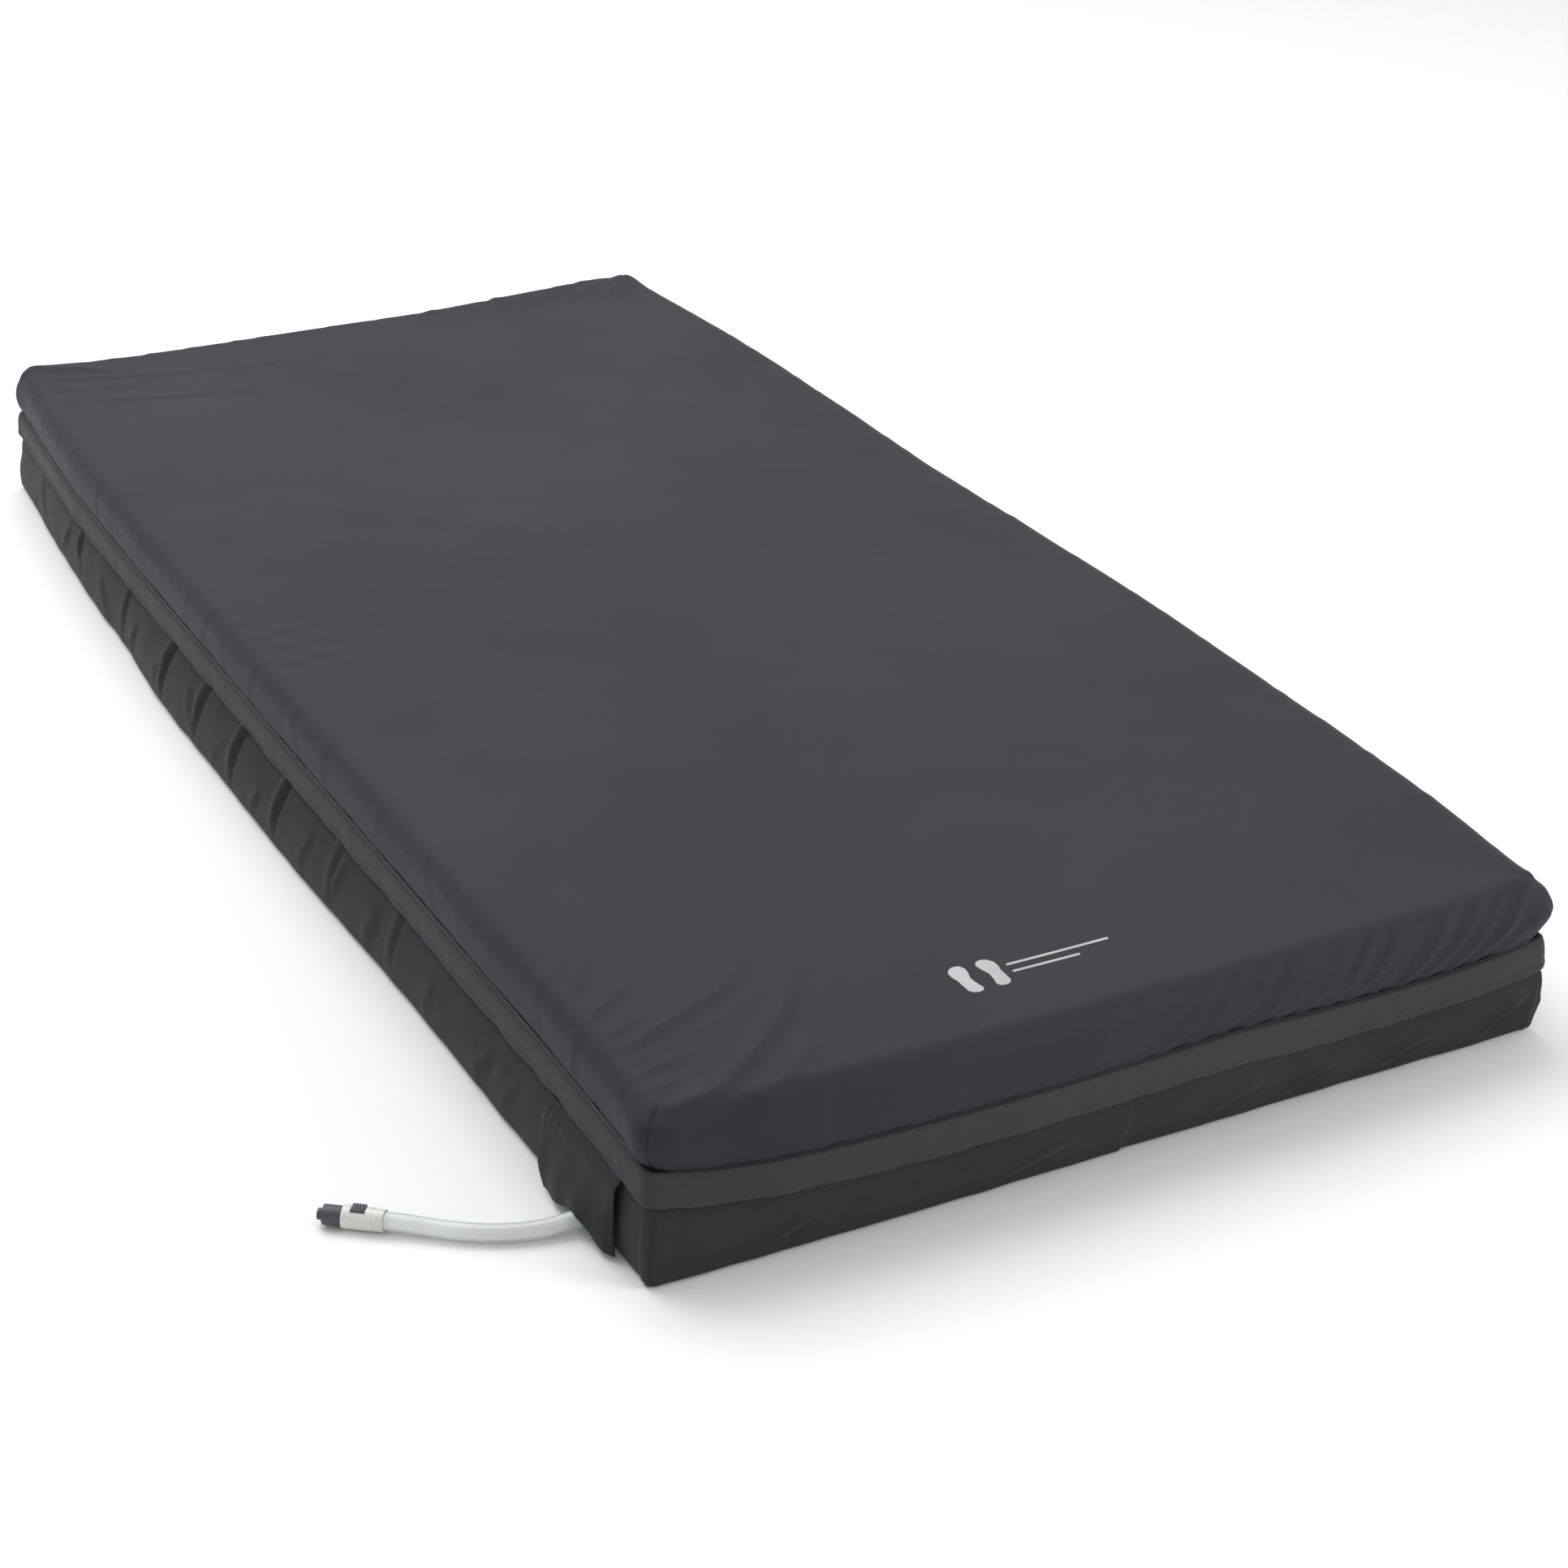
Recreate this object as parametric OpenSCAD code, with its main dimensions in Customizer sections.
// Pressure relief mattress: a zipped cover over a foam base, foam bolsters and
// transverse air cells with foam inside, fed by two air lines and one short hose.
// Origin: centre of the underside. +Y towards the head, +Z up. Millimetres.

/* [Mattress] */
// Overall width, over the rain flap of the zip
mattress_w = 889; // [760:1:1100]
// Overall length, over the rain flap of the zip
mattress_l = 2032; // [1900:1:2200]
// Overall height
mattress_h = 160; // [150:1:180]
// Radius of the upright corners and of the top edges
edge_r = 28; // [20:1:40]

/* [Cover] */
// Thickness of the cover cloth with its coating
cloth_t = 1.5; // [1:0.1:2]
// Height of the top edge of the rain flap
flap_top_z = 112; // [112:1:118]
// Height of the free lower edge of the rain flap
flap_low_z = 72; // [66:1:76]
// How far the rain flap stands out from the cover's wall
flap_proud = 7; // [7:0.5:10]
// Height of the middle of the zip chain
zip_z = 95.5; // [95:0.5:96]

/* [Core] */
// Thickness of the foam base
base_foam_t = 45; // [40:1:50]
// Thickness of the foam topper
topper_t = 21; // [15:1:25]
// Width of each foam bolster
bolster_w = 90; // [70:1:110]
// Number of air cells
cell_count = 18; // [18:1:18]
// Wall of an air cell
cell_wall = 1; // [0.8:0.1:1.5]
// Outer radius of an air line
line_r = 5; // [4:0.5:6]

/* [Hose] */
// Outer radius of the hose
hose_r = 8; // [6:0.5:8]
// Width of the flap over the hose outlet
hose_flap_w = 155; // [120:5:180]
// Outward lean of the hose flap at rest
hose_flap_lean = 13; // [11:1:16]

/* [Hidden] */
$fn = 48;

gap = 0.5;
wall_x = mattress_w / 2 - flap_proud;
wall_y = mattress_l / 2 - flap_proud;
core_x = wall_x - cloth_t - gap;
core_y = wall_y - cloth_t - gap;
core_r = edge_r - cloth_t - gap;

base_z0 = cloth_t + gap;
base_z1 = base_z0 + base_foam_t;
topper_z1 = mattress_h - cloth_t - 2.5;
topper_z0 = topper_z1 - topper_t;
mid_z0 = base_z1 + 0.1;
mid_z1 = topper_z0 - gap;
strap_t = 1;
cell_z0 = mid_z0 + strap_t + 0.4;

// The air lines run in a channel between the left bolster and the cells
channel_w = 17;
bolster_in = core_x - bolster_w;
cell_x0 = -bolster_in + channel_w;
cell_x1 = bolster_in - gap;
line_x = -bolster_in + channel_w / 2;
line_a_z = 70;
line_b_z = 100;
line_y0 = -(core_y - bolster_w) - 5;
line_y1 = core_y - bolster_w - gap - 45;
cells_y0 = -(core_y - bolster_w - gap);
cell_pitch = -2 * cells_y0 / cell_count;
function cell_y(k) = cells_y0 + (k - 0.5) * cell_pitch;

// Zip, measured outwards from the cover's wall
tape_t = 0.7;
chain_h = 3.8;
chain_in = 0;
chain_out = 2.2;
tape_free = 9.5;
slider_x = 361;
slider_w = 11;
slider_h = 13;

// Hose outlet in the left wall near the foot
outlet_y = -914;
outlet_z = 12;
gland_r = 10.5;
collar_l = 12;
hose_x0 = -(wall_x + 3 + collar_l);
flap_hinge_z = flap_low_z - 3;
hose_flap_t = 1.6;
hose_flap_y = -888;
hose_path = [
    [hose_x0, -914, 12], [-457, -914, 12], [-463, -913.7, 11.6], [-472, -912.9, 10.4], [-482, -911.5, 9.2],
    [-492, -909.5, 8.4], [-502, -906.9, 8.1], [-512, -903.6, 8.1], [-521, -900, 8.1],
    [-530, -895.7, 8.1], [-538.5, -890.9, 8.1], [-547, -885.4, 8.1], [-555, -879.7, 8.1],
    [-563, -873.6, 8.3], [-571, -867.4, 8.8], [-579, -861.2, 9.4], [-587, -855, 9.9],
    [-595, -848.8, 10.3], [-603, -842.6, 10.3]
];
conn_at = hose_path[len(hose_path) - 1];
conn_dir = conn_at - hose_path[len(hose_path) - 2];
conn_turn = atan2(conn_dir.y, conn_dir.x);

// Rectangle with round corners, half sizes hx and hy
module round_rect(hx, hy, r) {
    square([2 * hx, 2 * (hy - r)], center = true);
    square([2 * (hx - r), 2 * hy], center = true);
    for (sx = [-1, 1], sy = [-1, 1]) translate([sx * (hx - r), sy * (hy - r)]) circle(r);
}

module slab(hx, hy, r, z0, z1) {
    translate([0, 0, z0]) linear_extrude(z1 - z0) round_rect(hx, hy, r);
}

// Slab whose top edges are rounded too
module pillow(hx, hy, r, z0, z1) {
    slab(hx, hy, r, z0, z1 - r);
    translate([-(hx - r), -(hy - r), z1 - r - 1]) cube([2 * (hx - r), 2 * (hy - r), r + 1]);
    for (s = [-1, 1]) {
        translate([s * (hx - r), 0, z1 - r]) rotate([90, 0, 0])
            cylinder(r = r, h = 2 * (hy - r), center = true);
        translate([0, s * (hy - r), z1 - r]) rotate([0, 90, 0])
            cylinder(r = r, h = 2 * (hx - r), center = true);
        for (t = [-1, 1]) translate([s * (hx - r), t * (hy - r), z1 - r]) sphere(r);
    }
}

// Upright band round the mattress between two distances from the cover's wall
module band(d0, d1, z0, z1) {
    difference() {
        slab(wall_x + d1, wall_y + d1, edge_r + d1, z0, z1);
        slab(wall_x + d0, wall_y + d0, edge_r + d0, z0 - 1, z1 + 1);
    }
}

module along_x(x0, x1, r, y, z) {
    translate([x0, y, z]) rotate([0, 90, 0]) cylinder(r = r, h = x1 - x0);
}

module along_y(y0, y1, r, x, z) {
    translate([x, y0, z]) rotate([-90, 0, 0]) cylinder(r = r, h = y1 - y0);
}

module top_cover() {
    color([0.19, 0.19, 0.22]) difference() {
        pillow(wall_x, wall_y, edge_r, zip_z + tape_free, mattress_h);
        pillow(wall_x - cloth_t, wall_y - cloth_t, edge_r - cloth_t, zip_z, mattress_h - cloth_t);
    }
}

module base_cover() {
    color([0.12, 0.12, 0.12]) difference() {
        slab(wall_x, wall_y, edge_r, 0, zip_z - tape_free);
        slab(wall_x - cloth_t, wall_y - cloth_t, edge_r - cloth_t, cloth_t, zip_z);
        along_x(-wall_x - 1, -wall_x + 4, hose_r + 0.1, outlet_y, outlet_z);
    }
}

module zip_flap() {
    color([0.2, 0.2, 0.21]) {
        band(flap_proud - 1.2, flap_proud, flap_low_z, flap_top_z);
        band(0, flap_proud, flap_top_z - 1.2, flap_top_z);
    }
}

module zip_tape_upper() {
    color([0.1, 0.1, 0.1]) band(0, tape_t, zip_z + chain_h / 2 + 0.2, flap_top_z - 2);
}

module zip_tape_lower() {
    color([0.1, 0.1, 0.1]) band(0, tape_t, zip_z - 17.5, zip_z - chain_h / 2 - 0.2);
}

module zip_chain() {
    color([0.08, 0.08, 0.08]) difference() {
        band(chain_in, chain_out, zip_z - chain_h / 2, zip_z + chain_h / 2);
        translate([slider_x - 4, wall_y - 5, zip_z - 5]) cube([9, 10, 10]);
    }
}

module zip_slider() {
    color([0.3, 0.3, 0.31]) translate([slider_x, wall_y, zip_z]) {
        translate([-slider_w / 2, -1.35, -slider_h / 2]) cube([slider_w, 1.2, slider_h]);
        translate([-slider_w / 2, 2.4, -slider_h / 2]) cube([slider_w, 1.3, slider_h]);
        translate([-1.5, -0.5, -1.2]) cube([3, 3.2, 2.4]);
        for (s = [-1, 1]) translate([-slider_w / 2, 1, s * (slider_h / 2 - 0.7) - 0.7])
            cube([slider_w, 1.8, 1.4]);
        rotate([-90, 0, 0]) cylinder(r = 1, h = 5.5);
        translate([0, 5.3, 0]) rotate([-90, 0, 0]) cylinder(r = 2, h = 0.4);
    }
}

module zip_pull() {
    color([0.3, 0.3, 0.31]) translate([slider_x, wall_y + 5.1, zip_z]) rotate([90, 0, 0])
        linear_extrude(1.2) difference() {
            union() {
                circle(3.5);
                translate([-3.5, -29]) square([7, 29]);
                translate([0, -29]) circle(3.5);
            }
            circle(1.08);
            translate([-1.5, -29]) square([3, 12]);
        }
}

module fire_barrier() {
    color([0.9, 0.88, 0.82])
        slab(core_x - core_r, core_y - core_r, 5, topper_z1 + 0.6, topper_z1 + 1.6);
}

module foam_topper() {
    color([0.93, 0.9, 0.8]) intersection() {
        pillow(core_x, core_y, core_r, topper_z0 - 20, topper_z1);
        translate([-core_x, -core_y, topper_z0]) cube([2 * core_x, 2 * core_y, topper_t]);
    }
}

// The pocket lets the inlet elbow and the gland sit in the foam
module foam_base() {
    color([0.75, 0.78, 0.82]) difference() {
        slab(core_x, core_y, core_r, base_z0, base_z1);
        translate([-core_x - 1, outlet_y - 14, base_z0 - 1])
            cube([core_x + 1 + line_x + 8, 28, base_foam_t + 2]);
    }
}

module side_bolster(side) {
    color([0.93, 0.9, 0.8]) intersection() {
        slab(core_x, core_y, core_r, mid_z0, mid_z1);
        translate([side > 0 ? bolster_in : -core_x, -core_y, 0])
            cube([bolster_w, 2 * core_y, mattress_h]);
    }
}

module side_bolster_left() { side_bolster(-1); }

module side_bolster_right() { side_bolster(1); }

module end_bolster(side) {
    color([0.93, 0.9, 0.8])
        translate([cell_x0, side > 0 ? core_y - bolster_w : -core_y, mid_z0])
            cube([cell_x1 - cell_x0, bolster_w, mid_z1 - mid_z0]);
}

module head_bolster() { end_bolster(1); }

module foot_bolster() { end_bolster(-1); }

// Round-edged tube lying across the mattress, inset by d on every side
module cell_body(k, d) {
    hy = cell_pitch / 2 - 0.3 - d;
    hz = (mid_z1 - cell_z0) / 2 - d;
    r = 30 - d;
    translate([cell_x0 + d, cell_y(k), (mid_z1 + cell_z0) / 2]) rotate([90, 0, 90])
        linear_extrude(cell_x1 - cell_x0 - 2 * d) round_rect(hy, hz, r);
}

module air_cell(k) {
    color([0.32, 0.42, 0.5]) difference() {
        cell_body(k, 0);
        cell_body(k, cell_wall);
    }
}

module cell_cores(first, last) {
    color([0.95, 0.93, 0.7]) for (k = [first:last]) cell_body(k, cell_wall + 0.5);
}

module cell_cores_calf() { cell_cores(1, 5); }

module cell_cores_thigh() { cell_cores(6, 8); }

module cell_cores_seat() { cell_cores(9, 11); }

module cell_cores_back() { cell_cores(12, 18); }

module cell_strap(x) {
    color([0.1, 0.1, 0.1]) translate([x - 15, cells_y0, mid_z0])
        cube([30, -2 * cells_y0, strap_t]);
}

module cell_strap_left() { cell_strap(-190); }

module cell_strap_right() { cell_strap(190); }

// Air line with a short branch to every second cell
module air_line(z, first) {
    bore = line_r - 1.5;
    color([0.85, 0.87, 0.9]) difference() {
        union() {
            along_y(line_y0, line_y1, line_r, line_x, z);
            for (k = [first:2:cell_count]) along_x(line_x, cell_x0, 3.5, cell_y(k), z);
        }
        along_y(line_y0 + 3, line_y1 + 1, bore, line_x, z);
        for (k = [first:2:cell_count]) along_x(line_x, cell_x0 + 1, 2, cell_y(k), z);
    }
}

module air_line_a() { air_line(line_a_z, 1); }

module air_line_b() { air_line(line_b_z, 2); }

module check_valve(z) {
    color([0.15, 0.35, 0.6]) difference() {
        union() {
            along_y(line_y1, line_y1 + 10, line_r, line_x, z);
            along_y(line_y1 + 10, line_y1 + 34, line_r + 2.5, line_x, z);
            along_y(line_y1 + 34, line_y1 + 42, line_r - 1, line_x, z);
        }
        along_y(line_y1 - 1, line_y1 + 43, 2, line_x, z);
    }
}

module check_valve_a() { check_valve(line_a_z); }

module check_valve_b() { check_valve(line_b_z); }

// Riser that joins the two air lines at the foot end
module line_link() {
    color([0.85, 0.87, 0.9]) difference() {
        translate([line_x, outlet_y, line_a_z]) cylinder(r = 4, h = line_b_z - line_a_z);
        translate([line_x, outlet_y, line_a_z - 1]) cylinder(r = 2.5, h = line_b_z);
        along_y(outlet_y - 20, outlet_y + 20, line_r + 0.02, line_x, line_a_z);
        along_y(outlet_y - 20, outlet_y + 20, line_r + 0.02, line_x, line_b_z);
    }
}

module inlet_elbow() {
    leg_x0 = -(wall_x - 32);
    color([0.88, 0.88, 0.88]) difference() {
        union() {
            along_x(leg_x0, line_x, 6, outlet_y, outlet_z);
            translate([line_x, outlet_y, outlet_z]) sphere(6);
            translate([line_x, outlet_y, outlet_z]) cylinder(r = 6, h = line_a_z - outlet_z);
        }
        along_x(leg_x0 - 1, line_x, 4, outlet_y, outlet_z);
        translate([line_x, outlet_y, outlet_z]) cylinder(r = 4, h = line_a_z);
        along_y(outlet_y - 20, outlet_y + 20, line_r + 0.02, line_x, line_a_z);
    }
}

module gland_nut() {
    color([0.16, 0.16, 0.16]) translate([-(wall_x - cloth_t), outlet_y, outlet_z])
        rotate([0, 90, 0]) difference() {
            cylinder(r = 9.9, h = 6, $fn = 6);
            translate([0, 0, -1]) cylinder(r = hose_r + 0.05, h = 8);
        }
}

// Flange outside the wall, threaded barrel through it and a tapered collar
module hose_gland() {
    color([0.16, 0.16, 0.16]) translate([-wall_x, outlet_y, outlet_z]) rotate([0, -90, 0])
        difference() {
            union() {
                translate([0, 0, -32]) cylinder(r = hose_r, h = 33);
                cylinder(r = gland_r, h = 3);
                rotate_extrude() polygon([
                    [0, 3], [gland_r - 0.8, 3], [hose_r + 1.4, 3 + collar_l], [0, 3 + collar_l]
                ]);
            }
            translate([0, 0, -33]) cylinder(r = 5, h = 34 + 3 + collar_l);
        }
}

module hose_flap_binding() {
    color([0.12, 0.12, 0.12])
        translate([-wall_x - 1.2, hose_flap_y - hose_flap_w / 2, flap_hinge_z + 1])
            cube([1.2, hose_flap_w, zip_z - 17.6 - flap_hinge_z - 1]);
}

module hose_flap() {
    hinge_x = wall_x + 2.4;
    flap_l = (flap_hinge_z - 5) / cos(hose_flap_lean);
    notch_w = 2 * gland_r + 6;
    notch_l = flap_l - (flap_hinge_z - outlet_z - gland_r - 5) / cos(hose_flap_lean);
    color([0.13, 0.13, 0.13]) translate([-hinge_x, 0, flap_hinge_z]) rotate([0, hose_flap_lean, 0])
        difference() {
            translate([-hose_flap_t / 2, hose_flap_y - hose_flap_w / 2, -flap_l])
                cube([hose_flap_t, hose_flap_w, flap_l]);
            translate([-5, outlet_y - notch_w / 2, -flap_l - 1])
                cube([10, notch_w, notch_l + 1]);
        }
}

// Unit vector along a step of a route
function step_dir(a, b) = (b - a) / norm(b - a);
// Direction of the route at point i
function heading(p, i) =
    i == 0 ? step_dir(p[0], p[1]) :
    i == len(p) - 1 ? step_dir(p[i - 1], p[i]) :
    step_dir(p[i - 1], p[i + 1]);
function ring_points(c, dir, r, sides) =
    let (side = step_dir([0, 0, 0], cross(dir, [0, 0, 1])), up = cross(side, dir))
    [for (j = [0:sides - 1]) c + r * (cos(360 * j / sides) * side + sin(360 * j / sides) * up)];

module swept_tube(p, r, sides) {
    n = len(p);
    pts = [for (i = [0:n - 1]) each ring_points(p[i], heading(p, i), r, sides)];
    walls = [for (i = [0:n - 2], j = [0:sides - 1]) let (k = (j + 1) % sides)
        [i * sides + j, i * sides + k, (i + 1) * sides + k, (i + 1) * sides + j]];
    polyhedron(pts, concat(walls, [[for (j = [sides - 1:-1:0]) j]],
        [[for (j = [0:sides - 1]) (n - 1) * sides + j]]));
}

module air_hose() {
    color([0.82, 0.84, 0.84]) swept_tube(hose_path, hose_r, 12);
}

// Local frame of the coupling at the end of the hose: +X away from the hose
module at_coupling() {
    translate(conn_at) rotate([0, 0, conn_turn]) children();
}

module connector_body() {
    color([0.82, 0.82, 0.8]) at_coupling() difference() {
        union() {
            along_x(0.02, 10, hose_r + 1.6, 0, 0);
            along_x(10, 36, 10, 0, 0);
            along_x(36, 50, 7, 0, 0);
        }
        along_x(-1, 51, 4, 0, 0);
        translate([16, -5.3, 4.6]) cube([12.6, 10.6, 10]);
    }
}

module connector_latch() {
    color([0.25, 0.27, 0.3]) at_coupling() {
        translate([16.3, -5, 6.9]) cube([12, 10, 4.1]);
        for (x = [18, 21, 24]) translate([x, -4, 10.9]) cube([1.4, 8, 0.7]);
    }
}

module dust_cap() {
    color([0.25, 0.27, 0.3]) at_coupling() difference() {
        union() {
            along_x(37, 53, 8.8, 0, 0);
            along_x(53, 58, 5, 0, 0);
        }
        along_x(36, 51.5, 7.1, 0, 0);
    }
}

top_cover();
base_cover();
zip_flap();
zip_tape_upper();
zip_tape_lower();
zip_chain();
zip_slider();
zip_pull();
fire_barrier();
foam_topper();
foam_base();
side_bolster_left();
side_bolster_right();
head_bolster();
foot_bolster();
air_cell(1);  // air_cell_01
air_cell(2);  // air_cell_02
air_cell(3);  // air_cell_03
air_cell(4);  // air_cell_04
air_cell(5);  // air_cell_05
air_cell(6);  // air_cell_06
air_cell(7);  // air_cell_07
air_cell(8);  // air_cell_08
air_cell(9);  // air_cell_09
air_cell(10);  // air_cell_10
air_cell(11);  // air_cell_11
air_cell(12);  // air_cell_12
air_cell(13);  // air_cell_13
air_cell(14);  // air_cell_14
air_cell(15);  // air_cell_15
air_cell(16);  // air_cell_16
air_cell(17);  // air_cell_17
air_cell(18);  // air_cell_18
cell_cores_calf();
cell_cores_thigh();
cell_cores_seat();
cell_cores_back();
cell_strap_left();
cell_strap_right();
air_line_a();
air_line_b();
check_valve_a();
check_valve_b();
line_link();
inlet_elbow();
gland_nut();
hose_gland();
hose_flap_binding();
hose_flap();
air_hose();
connector_body();
connector_latch();
dust_cap();
